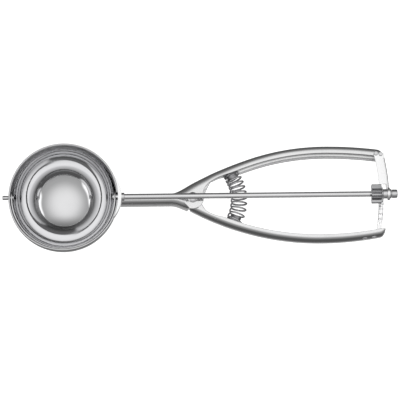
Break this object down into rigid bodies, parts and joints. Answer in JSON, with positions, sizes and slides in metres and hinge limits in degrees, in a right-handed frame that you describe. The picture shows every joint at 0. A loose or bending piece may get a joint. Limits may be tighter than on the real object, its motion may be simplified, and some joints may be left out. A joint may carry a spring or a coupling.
{
  "type": "lever ice cream scoop",
  "caption": "Squeeze-handle ice cream scoop: round bowl with a sweeping scraper blade driven by a rod, pinion and rack between two sprung levers.",
  "frame": {"origin": "middle of the bounding box in plan, at the lowest point of the bowl", "axes": "+X along the drive rod from the bowl to the handles' ends, +Z out of the bowl's mouth, +Y towards the fixed lever"},
  "size_m": [0.2156, 0.06, 0.0353],
  "materials": {
    "polished_steel": "mirror-polished stainless steel",
    "satin_steel": "bright stainless sheet, softly polished",
    "rod_steel": "polished round bar",
    "turned_steel": "turned and tumbled stainless steel",
    "spring_wire": "drawn spring wire"
  },
  "bodies": {
    "frame": {"bowl": "polished_steel", "bowl_saddle": "satin_steel", "fixed_lever": "satin_steel", "front_bush": "turned_steel", "pivot_rivet": "turned_steel", "pivot_washer": "turned_steel", "rear_bridge": "satin_steel", "bridge_rivets": "turned_steel", "rear_bush": "turned_steel", "upper_spring_seat": "turned_steel", "return_spring": "spring_wire"},
    "squeeze_lever": {"moving_lever": "satin_steel", "toothed_rack": "turned_steel", "rack_rivets": "turned_steel", "lower_spring_seat": "turned_steel"},
    "scraper": {"scraper_blade": "polished_steel", "drive_rod": "rod_steel", "tip_pin": "turned_steel", "pinion": "turned_steel", "thrust_washer": "turned_steel", "end_knob": "turned_steel"}
  },
  "joints": [
    {"name": "handle_squeeze", "type": "hinge", "parent": "frame", "child": "squeeze_lever", "pos_m": [-0.00402, 0, 0.02], "axis": [0, 0, 1], "range_deg": [0, 6.9], "stiffness_Nm_per_rad": 8, "springref_deg": -6.88, "deforming": ["return_spring"]},
    {"name": "scraper_spin", "type": "hinge", "parent": "frame", "child": "scraper", "pos_m": [-0.07452, 0, 0.03], "axis": [1, 0, 0], "range_deg": [0, 160.6]}
  ],
  "couplings": [
    {"joint": "scraper_spin", "follows": "handle_squeeze", "ratio": 23.262}
  ]
}
